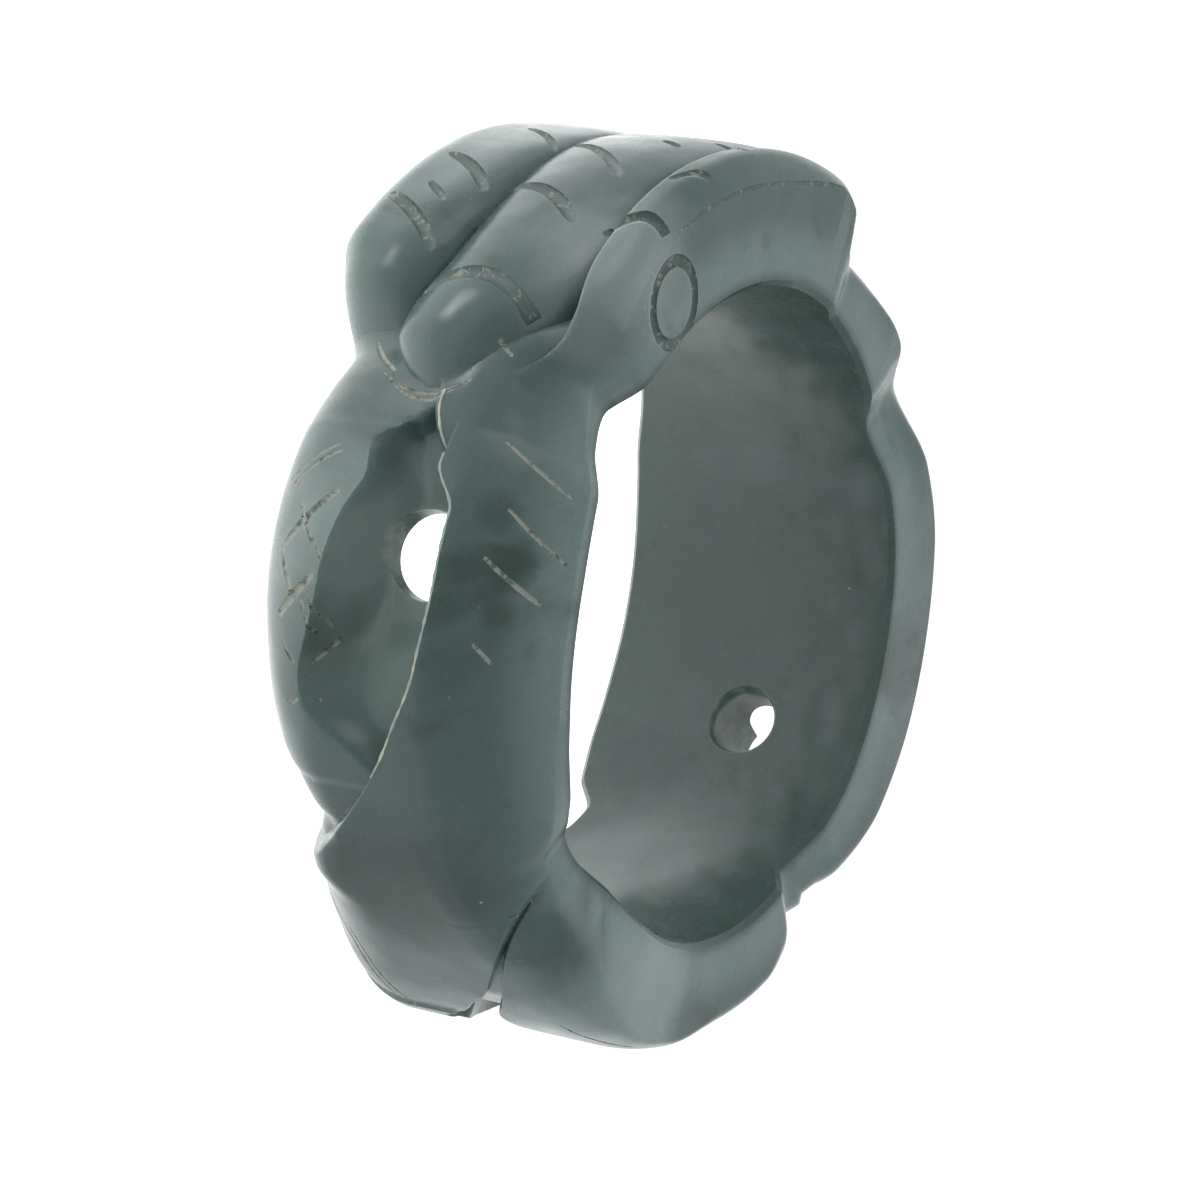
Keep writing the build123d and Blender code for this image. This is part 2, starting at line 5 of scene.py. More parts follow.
import bmesh
import bpy
from mathutils import Matrix, Vector


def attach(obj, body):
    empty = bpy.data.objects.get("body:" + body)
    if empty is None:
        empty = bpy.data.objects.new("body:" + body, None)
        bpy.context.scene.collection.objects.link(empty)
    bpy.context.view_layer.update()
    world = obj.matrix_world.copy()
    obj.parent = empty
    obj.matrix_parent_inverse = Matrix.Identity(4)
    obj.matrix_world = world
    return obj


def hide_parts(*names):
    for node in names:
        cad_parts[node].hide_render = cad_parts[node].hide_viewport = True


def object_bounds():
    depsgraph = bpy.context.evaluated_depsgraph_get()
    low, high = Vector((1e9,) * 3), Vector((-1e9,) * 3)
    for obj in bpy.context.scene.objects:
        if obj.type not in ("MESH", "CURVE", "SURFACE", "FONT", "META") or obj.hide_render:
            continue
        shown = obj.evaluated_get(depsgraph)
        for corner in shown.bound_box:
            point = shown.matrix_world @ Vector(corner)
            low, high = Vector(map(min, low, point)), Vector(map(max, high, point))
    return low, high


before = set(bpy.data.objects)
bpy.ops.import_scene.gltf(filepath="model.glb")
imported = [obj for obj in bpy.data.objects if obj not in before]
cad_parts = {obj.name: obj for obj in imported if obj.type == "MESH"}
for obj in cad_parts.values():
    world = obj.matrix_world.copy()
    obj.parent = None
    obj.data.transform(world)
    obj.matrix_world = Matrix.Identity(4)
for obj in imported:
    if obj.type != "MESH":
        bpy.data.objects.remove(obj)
cad_box = [list(corner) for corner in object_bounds()]


# Carved ring
# One piece of jadeite, sawn and drilled, then carved with small wheels into a twist of two
# strands with a ridged head, and polished by hand. Each run of a strand comes out at the near
# rim, crosses over the band and dives under the next; the lenses between them are scooped out.

mm = 0.001
bore_radius = 9.0 * mm
half_width = 4.375 * mm
strand_wall = 3.1 * mm  # from the bore to the crest of a strand
head_rise = 0.62 * mm  # of the head's ridges above the strands
lens_floor = 0.45 * mm  # thin wall at the bottom of a lens
bore_bevel = 0.16 * mm  # light bevel between the bore and the rims
columns = 720  # round the ring
rows = 96  # from rim to rim
corner_rows = 6  # at each rim
bore_rows = 12
corner_reach = 0.1  # share of the half width that these take, at most
samples = 360  # places at which a section is tried for its rows
bend_rows = 0.35 * mm  # a bend of one radian takes as many rows as this much of the surface
most_climb = 0.25 * mm  # of a steep side between two samples that takes rows


def named_rows(columns, *rows):
    """A table: each row as a dict under the named columns."""
    return [dict(zip(columns.split(), row)) for row in rows]


# A run of a strand. Heights are shares of the strand wall, the rest shares of the half width.
#   turn: degrees after the crossing where the strand comes out, from which the run is counted
#   far, near: where its edges lie across the band, from -1 at the far rim to 1 at the near rim
#   crest: height of its top over the bore
#   soft_far, soft_near: how far in from each edge it is rounded over
#   scoop: width of the hollowed slope below its near edge
crossings = (41, 131, 221, 311)
strand_run = named_rows(
    "turn far near crest soft_far soft_near scoop",
    (-6, 0.98, 1.50, 0.60, 0.15, 0.30, 0.00),
    (2, 0.84, 1.50, 0.74, 0.15, 0.30, 0.00),
    (12, 0.53, 1.50, 0.90, 0.10, 0.30, 0.00),
    (20, 0.40, 1.50, 0.96, 0.06, 0.30, 0.00),
    (25, 0.32, 1.50, 0.98, 0.05, 0.30, 0.00),
    (30, 0.20, 1.50, 0.98, 0.05, 0.30, 0.00),
    (36, 0.18, 1.50, 0.97, 0.05, 0.30, 0.00),
    (42, 0.32, 1.50, 0.97, 0.05, 0.30, 0.00),
    (50, 0.32, 1.50, 0.98, 0.05, 0.30, 0.00),
    (62, 0.26, 1.50, 1.00, 0.05, 0.30, 0.00),
    (70, 0.12, 1.50, 1.00, 0.05, 0.30, 0.00),
    (74, 0.02, 1.50, 1.00, 0.06, 0.30, 0.00),
    (84, -0.33, 1.25, 1.00, 0.08, 0.20, 0.00),
    (92, -0.72, 0.95, 1.00, 0.12, 0.10, 0.00),
    (98, -1.20, 0.74, 1.00, 0.20, 0.07, 0.00),
    (108, -1.50, 0.48, 1.00, 0.30, 0.07, 0.00),
    (113, -1.50, 0.35, 1.00, 0.30, 0.07, 0.00),
    (118, -1.50, 0.16, 0.99, 0.30, 0.10, 0.00),
    (121, -1.50, 0.07, 0.99, 0.30, 0.12, 0.00),
    (124, -1.50, -0.02, 0.99, 0.30, 0.22, 0.34),
    (130, -1.50, -0.20, 0.99, 0.30, 0.04, 0.22),
    (136, -1.50, -0.32, 0.98, 0.30, 0.03, 0.18),
    (143, -1.50, -0.37, 0.98, 0.30, 0.03, 0.20),
    (150, -1.50, -0.35, 0.97, 0.30, 0.10, 0.40),
    (156, -1.50, -0.16, 0.96, 0.30, 0.34, 0.70),
    (161, -1.50, 0.12, 0.95, 0.30, 0.50, 0.60),
    (166, -1.50, 0.45, 0.93, 0.30, 0.50, 0.30),
    (172, -1.50, 0.80, 0.90, 0.30, 0.40, 0.00),
    (184, -1.50, 1.20, 0.75, 0.30, 0.60, 0.00),
    (192, -1.50, 1.50, 0.55, 0.30, 0.60, 0.00),
)

before_crossing = 60  # degrees, more than any run begins before its crossing
full_scoop = 0.15  # a near edge hollowed at least this wide has lost its rounding
fillet = 1.2 * mm  # between a hollow and the lens floor
least_fillet = 1e-6 * mm  # where there is no hollow

# The band's two rims, and how thick it is there, by angle.
#   near, far: how far each rim face stands out, as a share of the half width
#   near_lip, far_lip: height of the rim face's outer edge, as a share of the strand wall
#   near_soft, far_soft: share of the half width over which each corner is rounded
#   crease: from 0, a rounded near corner, to 1, one that is cut as a bevel
#   wall: local thickness of the strands, as a share of the strand wall
rim = named_rows(
    "angle near far near_lip near_soft crease far_lip far_soft wall",
    (0, 0.98, 1.00, 0.84, 0.26, 0.0, 0.62, 0.30, 0.98),
    (14, 0.97, 1.00, 0.69, 0.22, 0.0, 0.55, 0.30, 0.88),
    (28, 0.97, 0.97, 0.66, 0.18, 0.0, 0.45, 0.35, 0.87),
    (34, 0.97, 0.90, 0.44, 0.20, 0.0, 0.30, 0.35, 0.85),
    (37, 0.92, 0.83, 0.24, 0.24, 0.0, 0.20, 0.35, 0.82),
    (40.5, 0.85, 0.77, 0.14, 0.25, 0.0, 0.15, 0.35, 0.80),
    (46, 0.90, 0.74, 0.34, 0.20, 0.0, 0.12, 0.35, 0.82),
    (53, 0.97, 0.90, 0.54, 0.14, 0.0, 0.30, 0.35, 0.90),
    (65, 1.00, 0.98, 0.81, 0.12, 0.0, 0.45, 0.35, 0.95),
    (80, 1.00, 1.00, 0.90, 0.12, 0.0, 0.50, 0.35, 0.97),
    (104, 0.99, 1.00, 0.90, 0.12, 0.0, 0.50, 0.35, 0.97),
    (117, 0.96, 0.98, 0.80, 0.14, 0.0, 0.50, 0.35, 0.93),
    (130, 0.83, 0.88, 0.55, 0.20, 0.0, 0.30, 0.35, 0.90),
    (139, 0.93, 0.82, 0.73, 0.20, 0.0, 0.25, 0.35, 0.90),
    (150, 0.94, 0.95, 0.57, 0.20, 0.0, 0.45, 0.35, 0.75),
    (161, 0.94, 0.98, 0.44, 0.20, 0.0, 0.55, 0.30, 0.62),
    (165.3, 0.99, 1.00, 0.56, 0.16, 0.5, 0.62, 0.30, 0.62),
    (167.4, 1.00, 1.00, 0.93, 0.16, 1.0, 0.88, 0.30, 0.62),
    (172, 1.00, 1.00, 1.02, 0.16, 1.0, 0.90, 0.30, 0.62),
    (189.5, 1.00, 1.00, 0.88, 0.16, 1.0, 0.90, 0.30, 0.62),
    (205, 1.00, 1.00, 0.92, 0.16, 1.0, 0.95, 0.25, 0.62),
    (218, 1.00, 1.00, 0.87, 0.18, 0.8, 0.95, 0.25, 0.62),
    (228, 1.00, 1.00, 0.80, 0.22, 0.4, 0.95, 0.25, 0.62),
    (233, 0.98, 0.96, 0.62, 0.28, 0.3, 0.70, 0.28, 0.64),
    (241, 0.80, 0.90, 0.34, 0.50, 0.9, 0.10, 0.55, 0.70),
    (247, 0.84, 0.94, 0.24, 0.65, 1.0, 0.10, 0.60, 0.80),
    (256, 0.97, 0.99, 0.20, 0.80, 1.0, 0.16, 0.60, 0.88),
    (270, 1.00, 1.00, 0.20, 0.85, 1.0, 0.20, 0.60, 0.96),
    (290, 0.98, 0.95, 0.22, 0.85, 1.0, 0.14, 0.58, 0.98),
    (297, 0.96, 0.90, 0.26, 0.82, 0.9, 0.08, 0.52, 0.97),
    (300.5, 0.95, 0.83, 0.28, 0.80, 0.9, 0.06, 0.46, 0.97),
    (305, 0.93, 0.75, 0.30, 0.76, 0.8, 0.04, 0.40, 0.97),
    (308, 0.90, 0.64, 0.32, 0.70, 0.7, 0.04, 0.34, 0.97),
    (310.5, 0.87, 0.72, 0.34, 0.64, 0.6, 0.04, 0.30, 0.97),
    (314, 0.82, 0.79, 0.36, 0.56, 0.5, 0.04, 0.34, 0.97),
    (320, 0.84, 0.87, 0.38, 0.50, 0.4, 0.04, 0.60, 0.97),
    (328, 0.98, 0.96, 0.50, 0.50, 0.3, 0.10, 0.70, 0.98),
    (342, 1.03, 0.99, 0.78, 0.40, 0.0, 0.40, 0.55, 1.06),
    (351, 1.01, 1.00, 0.86, 0.32, 0.0, 0.55, 0.40, 1.04),
)

# The head's ridges, back end first. The middle one runs out past the others as the nose, over
# the neck, which the near strand grows out of.
#   far, near: edges, as shares of the half width
#   crest: height of its top, as a share of the head's whole height
#   foot: height of the valleys beside it, as a share of its crest
#   soft_far, soft_near: share of the half width over which each flank is rounded
far_ridge = named_rows(
    "angle far near crest foot soft_far soft_near",
    (162, -1.05, -0.20, 0.30, 0.97, 0.32, 0.30),
    (165.3, -1.05, -0.20, 0.52, 0.97, 0.32, 0.30),
    (167.4, -1.05, -0.20, 0.86, 0.97, 0.32, 0.30),
    (170, -1.05, -0.20, 0.95, 0.97, 0.32, 0.30),
    (180, -1.05, -0.18, 0.99, 0.96, 0.32, 0.32),
    (192, -1.05, -0.17, 1.01, 0.93, 0.32, 0.33),
    (205, -1.05, -0.16, 1.03, 0.88, 0.32, 0.34),
    (218, -1.05, -0.15, 1.04, 0.82, 0.32, 0.36),
    (228, -1.05, -0.20, 1.04, 0.77, 0.32, 0.36),
    (234, -1.02, -0.28, 0.95, 0.72, 0.32, 0.36),
    (238, -0.94, -0.36, 0.68, 0.70, 0.32, 0.36),
    (240, -0.84, -0.44, 0.20, 0.70, 0.32, 0.36),
)
middle_ridge = named_rows(
    "angle far near crest foot soft_far soft_near",
    (162, -0.24, 0.75, 0.30, 0.97, 0.36, 0.40),
    (165.3, -0.24, 0.75, 0.52, 0.97, 0.36, 0.40),
    (167.4, -0.24, 0.75, 0.86, 0.97, 0.36, 0.40),
    (170, -0.24, 0.75, 0.95, 0.97, 0.36, 0.40),
    (180, -0.22, 0.75, 0.99, 0.96, 0.38, 0.42),
    (192, -0.21, 0.75, 1.00, 0.93, 0.39, 0.43),
    (205, -0.20, 0.74, 1.01, 0.88, 0.40, 0.44),
    (218, -0.20, 0.73, 1.00, 0.83, 0.42, 0.44),
    (228, -0.24, 0.71, 0.98, 0.78, 0.42, 0.44),
    (234, -0.33, 0.62, 0.95, 0.73, 0.44, 0.44),
    (237, -0.38, 0.50, 0.92, 0.70, 0.42, 0.42),
    (240, -0.41, 0.38, 0.88, 0.66, 0.38, 0.38),
    (243, -0.34, 0.30, 0.81, 0.70, 0.32, 0.32),
    (245.4, -0.23, 0.22, 0.74, 0.80, 0.24, 0.24),
    (246.8, -0.10, 0.14, 0.68, 0.90, 0.12, 0.12),
    (247.6, -0.02, 0.06, 0.60, 0.90, 0.04, 0.04),
)
near_ridge = named_rows(
    "angle far near crest foot soft_far soft_near",
    (162, 0.72, 1.60, 0.30, 0.97, 0.06, 0.20),
    (165.3, 0.72, 1.60, 0.54, 0.97, 0.06, 0.20),
    (167.4, 0.72, 1.60, 0.88, 0.97, 0.06, 0.20),
    (170, 0.72, 1.60, 0.97, 0.96, 0.06, 0.20),
    (180, 0.72, 1.60, 0.97, 0.95, 0.06, 0.20),
    (212, 0.70, 1.60, 0.97, 0.82, 0.06, 0.20),
    (228, 0.70, 1.60, 0.93, 0.72, 0.05, 0.20),
    (234, 0.72, 1.60, 0.88, 0.68, 0.05, 0.20),
    (237, 0.68, 1.60, 0.84, 0.80, 0.05, 0.20),
    (239.4, 0.60, 1.60, 0.80, 0.88, 0.08, 0.20),
    (242, 0.50, 1.60, 0.75, 0.94, 0.30, 0.20),
    (245, 0.40, 1.60, 0.70, 0.98, 0.40, 0.20),
    (246, 0.40, 1.60, 0.66, 0.98, 0.40, 0.20),
)
neck = named_rows(
    "angle far near crest foot soft_far soft_near",
    (232, 0.10, 1.60, 0.60, 1.00, 0.20, 0.20),
    (238, 0.05, 1.60, 0.70, 1.00, 0.20, 0.20),
    (245, 0.05, 1.60, 0.71, 1.00, 0.10, 0.20),
    (249, 0.04, 1.60, 0.70, 0.95, 0.05, 0.20),
    (252, 0.08, 1.60, 0.685, 0.92, 0.05, 0.20),
    (256, 0.18, 1.60, 0.60, 0.92, 0.05, 0.20),
)
head = (far_ridge, middle_ridge, near_ridge, neck)

# How far the floor of a lens has climbed, from the thin wall at 0 to the lens's ends at 1
#   turn: degrees after the crossing where the lens begins
lens = named_rows(
    "turn climb",
    (20, 1.00),
    (28, 0.92),
    (33, 0.75),
    (37, 0.42),
    (41, 0.08),
    (45, 0.00),
    (53, 0.00),
    (57, 0.14),
    (62, 0.50),
    (68, 0.84),
    (76, 1.00),
)
lens_end = 0.70  # height of the lens's ends, as a share of the strand wall

# Stone left standing in the gap after the last crossing, as a share of the strand wall
sill = named_rows(
    "angle height",
    (320, 0.10),
    (326, 0.85),
    (331, 0.94),
    (335, 0.95),
    (338, 0.92),
    (342, 0.88),
    (347, 0.86),
    (351, 0.10),
)


def read(table, key, at, name):
    """One column of a table at any place between its rows, smooth and without overshoot."""
    if at <= table[0][key]:
        return table[0][name]
    if at >= table[-1][key]:
        return table[-1][name]
    i = max(k for k in range(len(table) - 1) if table[k][key] <= at)

    def slope(k):
        climb = table[k + 1][name] - table[k][name]
        return climb / (table[k + 1][key] - table[k][key])

    def slope_at(k):
        if k == 0 or k == len(table) - 1:
            return slope(i)
        before, after = slope(k - 1), slope(k)
        return 0.0 if before * after <= 0 else 2 * before * after / (before + after)

    span = table[i + 1][key] - table[i][key]
    t = (at - table[i][key]) / span
    start = (1 + 2 * t) * (1 - t) ** 2 * table[i][name]
    end = (3 - 2 * t) * t**2 * table[i + 1][name]
    leave = t * (1 - t) ** 2 * span * slope_at(i)
    arrive = (t - 1) * t**2 * span * slope_at(i + 1)
    return start + end + leave + arrive


def all_round(table):
    """The same table with its last row put before it and its first row after it, a turn on."""
    before = dict(table[-1], angle=table[-1]["angle"] - 360)
    after = dict(table[0], angle=table[0]["angle"] + 360)
    return [before, *table, after]


def shoulder(inside, soft):
    """A quarter round: 0 at an edge, 1 from the distance soft inwards."""
    if inside <= 0:
        return 0.0
    if inside >= soft:
        return 1.0
    return math.sqrt(1 - (1 - inside / soft) ** 2)


rim_loop = all_round(rim)


def section(angle):
    """What the tables say at one angle: the rims, the lens floor and the ridges."""
    here = {name: read(rim_loop, "angle", angle, name) for name in rim[0] if name != "angle"}
    ridges = []
    for crossing in crossings:
        turn = (angle - crossing + before_crossing) % 360 - before_crossing
        if strand_run[0]["turn"] < turn < strand_run[-1]["turn"]:
            ridge = {name: read(strand_run, "turn", turn, name) for name in strand_run[0]}
            ridge["crest"] *= here["wall"] * strand_wall
            ridge["foot"] = 0.0
            ridges.append(ridge)
    for table in head:
        if table[0]["angle"] < angle < table[-1]["angle"]:
            ridge = {name: read(table, "angle", angle, name) for name in table[0]}
            ridge["crest"] *= strand_wall + head_rise
            ridge["scoop"] = 0.0
            ridges.append(ridge)
    here["ridges"] = ridges
    climb = read(lens, "turn", (angle - crossings[0]) % (360 / len(crossings)), "climb")
    lens_height = lens_floor + climb * (lens_end * strand_wall - lens_floor)
    here["floor"] = max(lens_height, read(sill, "angle", angle, "height") * strand_wall)
    return here


def rise(ridge, across):
    """How far one ridge stands over the bore at a place across it, or 0 beside it."""
    top = 0.0
    from_far = shoulder(across - ridge["far"], ridge["soft_far"])
    if across < ridge["near"]:
        from_near = shoulder(ridge["near"] - across, ridge["soft_near"])
        if from_far > 0:
            top = ridge["crest"] * (ridge["foot"] + (1 - ridge["foot"]) * from_far * from_near)
    if ridge["scoop"] > 0:
        beyond = min(1.0, max(0.0, across - ridge["near"] + ridge["soft_near"]) / ridge["scoop"])
        ease = min(1.0, ridge["soft_near"] / ridge["scoop"])
        hollow = ridge["crest"] * from_far * (1 - beyond) ** 2 * (1 + 2 * ease * beyond)
        top += min(1.0, ridge["scoop"] / full_scoop) * (hollow - top)
    return top


def height(here, across):
    """How far the carved surface stands over the bore, at a place across one section."""
    top = here["floor"]
    for ridge in here["ridges"]:
        over = rise(ridge, across)
        reach = fillet * min(1.0, ridge["scoop"] / full_scoop) + least_fillet
        filled = max(0.0, reach - abs(top - over)) ** 2 / (4 * reach)
        top = max(top, over) + filled
    inside, lip = here["far"] + across, here["far_lip"] * strand_wall
    top = min(top, lip + max(0.0, top - lip) * shoulder(inside, here["far_soft"]))
    inside, lip = here["near"] - across, here["near_lip"] * strand_wall
    bevel = 1 - max(0.0, 1 - max(0.0, inside) / here["near_soft"]) ** 2
    corner = shoulder(inside, here["near_soft"])
    corner += here["crease"] * (bevel - corner)
    return min(top, lip + max(0.0, top - lip) * corner)


def stations(here):
    """Places across a section, rim to rim, close together where the surface bends or is steep."""
    far_corner = min(here["far_soft"], corner_reach)
    near_corner = min(here["near_soft"], corner_reach)
    steps = [(k / corner_rows) ** 2 for k in range(corner_rows + 1)]
    far_end = [far_corner * step - here["far"] for step in steps]
    near_end = [here["near"] - near_corner * step for step in steps[::-1]]
    step = (near_end[0] - far_end[-1]) / samples
    tops = [height(here, far_end[-1] + step * k) for k in range(samples + 1)]
    taken = [0.0]
    heading = 0.0
    for before, after in zip(tops, tops[1:]):
        climb = after - before
        turned = math.atan2(climb, step * half_width)
        bend = abs(turned - heading)
        heading = turned
        taken.append(taken[-1] + step * half_width + min(abs(climb), most_climb) + bend_rows * bend)
    between = rows - 2 * corner_rows
    places = []
    k = 0
    for row in range(1, between):
        share = taken[-1] * row / between
        while taken[k + 1] < share:
            k += 1
        places.append(far_end[-1] + step * (k + (share - taken[k]) / (taken[k + 1] - taken[k])))
    return far_end + places + near_end


def place(angle, radius, z):
    """A point by its angle round the bore, its distance from the axis and its height."""
    turn = math.radians(angle)
    return Vector((radius * math.cos(turn), radius * math.sin(turn), z))


def outline(angle):
    """One section's closed outline, up the far rim, over the outside, and back along the bore."""
    here = section(angle)
    low, high = -here["far"] * half_width, here["near"] * half_width
    points = [place(angle, bore_radius, low + bore_bevel)]
    points.append(place(angle, bore_radius + bore_bevel, low))
    for across in stations(here):
        points.append(place(angle, bore_radius + height(here, across), across * half_width))
    points.append(place(angle, bore_radius + bore_bevel, high))
    points.append(place(angle, bore_radius, high - bore_bevel))
    for k in range(1, bore_rows):
        z = high - bore_bevel + k / bore_rows * (low - high + 2 * bore_bevel)
        points.append(place(angle, bore_radius, z))
    return points


outlines = [outline(360 * column / columns) for column in range(columns)]
points = [point for one in outlines for point in one]
around = len(outlines[0])
triangles = []
for column in range(columns):
    for k in range(around):
        a, b = column * around + k, (column + 1) % columns * around + k
        d, c = column * around + (k + 1) % around, (column + 1) % columns * around + (k + 1) % around
        if (points[a] - points[c]).length < (points[b] - points[d]).length:
            triangles += [(a, b, c), (a, c, d)]
        else:
            triangles += [(a, b, d), (b, c, d)]
ring_mesh = bpy.data.meshes.new("carved_ring_surface")
ring_mesh.from_pydata(points, [], triangles)
ring = bpy.data.objects.new("jade_ring", ring_mesh)
bpy.context.scene.collection.objects.link(ring)


# Holes were drilled through the lenses from outside, each with a worn mouth on both sides.
# The last one is narrower, by the share of the burr's width that it has.
holes = named_rows(
    "angle across wide",
    (268.6, 0.0, 1.0),
    (357.0, 0.0, 1.0),
    (70.5, 0.1, 0.86),
)
# The burr's profile: its radius and the height over the bore where it has that, in millimetres
burr = ((1.24, -1.0), (1.24, -0.02), (1.14, 0.10), (1.14, 0.40), (1.20, 0.60), (1.20, 3.40))

# Cuts of a small wheel, from end to end, by angle and as shares of the half width, with how many
# degrees its middle is bowed by and how wide and deep it is there, in millimetres
wheel_cuts = named_rows(
    "angle across to_angle to_across bow width depth",
    (199.7, -0.53, 204.7, -0.18, -0.6, 0.30, 0.14),
    (212.1, -0.7, 219, -0.24, -0.8, 0.40, 0.20),
    (222.5, -0.82, 230.2, -0.3, -0.8, 0.40, 0.20),
    (219.6, -0.61, 222.6, -0.42, 0, 0.24, 0.10),
    (197.2, 0.365, 199.6, 0.534, 0, 0.30, 0.14),
    (201.7, -0.18, 212.6, 0.5, -1.4, 0.36, 0.17),
    (216, -0.16, 223.4, 0.485, -1.8, 0.42, 0.20),
    (235.6, -0.31, 236.9, 0.5, -3.2, 0.46, 0.16),
    (194.5, 0.87, 192.8, 0.6, 0, 0.30, 0.12),
    (206.6, 0.95, 210.8, 0.78, -1, 0.36, 0.16),
    (219.5, 0.99, 222.9, 0.69, -1.4, 0.44, 0.20),
    (261.9, -0.8, 256.6, -0.45, -0.5, 0.10, 0.03),
    (262.4, -0.75, 257.4, -0.42, -0.5, 0.12, 0.04),
    (270.7, -0.724, 262.4, -0.357, -0.4, 0.22, 0.06),
    (264.6, -0.635, 271.3, -0.388, 0.4, 0.14, 0.04),
    (270.8, -0.73, 276, -0.58, 0.3, 0.15, 0.04),
    (279.4, -0.7, 273.2, -0.43, 0, 0.28, 0.08),
    (276.6, -0.5, 280.8, -0.41, 0, 0.10, 0.03),
    (276.3, -0.43, 280.2, -0.37, 0, 0.10, 0.03),
    (284.6, -0.43, 281.6, -0.34, 0, 0.14, 0.05),
    (282.4, -0.63, 284.6, -0.53, 0.3, 0.10, 0.04),
    (289.6, -0.6, 289, -0.5, 0.6, 0.10, 0.04),
    (252.4, 0.543, 257.1, 0.913, 0, 0.08, 0.012),
    (261.1, 0.664, 266.8, 0.962, 0, 0.08, 0.012),
    (267.9, 0.609, 273.1, 0.893, 0, 0.09, 0.012),
    (278.9, 0.611, 281.4, 0.704, 0, 0.08, 0.012),
    (246.4, -0.327, 246.1, 0.196, 2.8, 0.14, 0.05),
    (245.6, -0.4, 245.4, 0.25, 2.6, 0.10, 0.04),
    (240.1, -0.606, 245.2, -0.322, 0.6, 0.16, 0.06),
    (240, 0.328, 241.4, 0.418, 0, 0.14, 0.05),
    (322.6, -0.7, 341.9, -0.52, 0, 0.12, 0.04),
    (326, -0.6, 344, -0.42, 0, 0.10, 0.03),
    (338.9, 0.7, 351.5, 0.94, 0, 0.12, 0.04),
)
path_steps = 14
fullness = 0.6  # of a cut along its length: a smaller power is fuller towards its ends
run_out = 0.15  # share of a cut's depth by which the wheel is clear of the stone at its ends


def cut_path(angle, across, to_angle, to_across, bow, width, depth):
    """Where the middle of the wheel's edge goes, and how round that edge is."""
    edge = (width**2 / 4 + depth**2) / (2 * depth) * mm
    points = []
    for k in range(path_steps + 1):
        share = k / path_steps
        at = angle + share * (to_angle - angle) + 4 * share * (1 - share) * bow
        z_share = across + share * (to_across - across)
        sunk = depth * mm * (math.sin(math.pi * share) ** fullness * (1 + run_out) - run_out)
        radius = bore_radius + height(section(at), z_share) + edge - sunk
        points.append(place(at, radius, z_share * half_width))
    return points, edge


# The engraved ring of an eye on each of the head's side faces
eye_angle = 222
eye_over = 1.28 * mm  # of its middle over the bore
eye_radius = 1.09 * mm
eye_edge = 0.18 * mm  # radius of the wheel's round edge
eye_lift = 0.04 * mm  # of the edge's middle, clear of the face
eye_steps = 28


def eye_path(face_side):
    middle = place(eye_angle, bore_radius + eye_over, face_side * (half_width + eye_lift))
    turns = [2 * math.pi * k / eye_steps for k in range(eye_steps)]
    return [middle + Vector((math.cos(t), math.sin(t), 0)) * eye_radius for t in turns], eye_edge


# The line engraved along the top of each side face, by angle and millimetres over the bore
edge_line = named_rows(
    "angle over",
    (171.0, 3.24),
    (176.5, 3.01),
    (185.0, 2.80),
    (193.4, 2.74),
    (201.6, 2.76),
    (208.2, 2.80),
    (214.8, 2.82),
    (220.5, 2.86),
    (226.0, 2.74),
)
line_edge = 0.075 * mm  # radius of the wheel's round edge
line_lift = 0.035 * mm  # of the edge's middle, clear of the face
line_steps = 40


def edge_line_path(face_side):
    first, last = edge_line[0]["angle"], edge_line[-1]["angle"]
    angles = [first + (last - first) * k / line_steps for k in range(line_steps + 1)]
    overs = [read(edge_line, "angle", angle, "over") * mm for angle in angles]
    level = face_side * (half_width + line_lift)
    return [place(a, bore_radius + over, level) for a, over in zip(angles, overs)], line_edge


def linear(hex_colour):
    """An sRGB hex colour as linear red, green, blue and alpha."""
    parts = [int(hex_colour[k : k + 2], 16) / 255 for k in (1, 3, 5)]
    return (*(p / 12.92 if p <= 0.04045 else ((p + 0.055) / 1.055) ** 2.4 for p in parts), 1.0)


def add(tree, kind, settings=(), **links):
    """Adds a node with its settings. Links are values or sockets by input name, or i and number."""
    node = tree.nodes.new(kind)
    for name, value in dict(settings).items():
        setattr(node, name, value)
    for name, value in links.items():
        by_number = name[0] == "i" and name[1:].isdigit()
        socket = node.inputs[int(name[1:]) if by_number else name.replace("_", " ")]
        if isinstance(value, bpy.types.NodeSocket):
            tree.links.new(value, socket)
        else:
            socket.default_value = value
    return node


def new_material(name):
    """A material with its node tree, its shader and the place that each point has on the object."""
    material = bpy.data.materials.new(name)
    material.use_nodes = True
    tree = material.node_tree
    spot = add(tree, "ShaderNodeTexCoord").outputs["Object"]
    return material, tree, tree.nodes["Principled BSDF"], spot


smooth = {"interpolation_type": "SMOOTHSTEP"}
product = {"operation": "MULTIPLY"}
total = {"operation": "ADD"}
apart = {"operation": "DISTANCE"}


def lay(tree, colour, tone, value, start, stop, share=1.0):
    """Lays a tone over a colour, more of it as a value goes from start to stop."""
    amount = add(
        tree, "ShaderNodeMapRange", smooth, Value=value, From_Min=start, From_Max=stop, To_Max=share
    )
    mix = add(
        tree, "ShaderNodeMix", {"data_type": "RGBA"}, i0=amount.outputs[0], i6=colour, i7=linear(tone)
    )
    return mix.outputs[2]


def lay_patches(tree, colour, tone, spot, size, start, stop, share=1.0, detail=3.0, rough=0.5, warp=0.0):
    """Lays patches of a tone over a colour, of about the given size."""
    noise = add(
        tree,
        "ShaderNodeTexNoise",
        Vector=spot,
        Scale=1 / size,
        Detail=detail,
        Roughness=rough,
        Distortion=warp,
    )
    return lay(tree, colour, tone, noise.outputs["Fac"], start, stop, share)


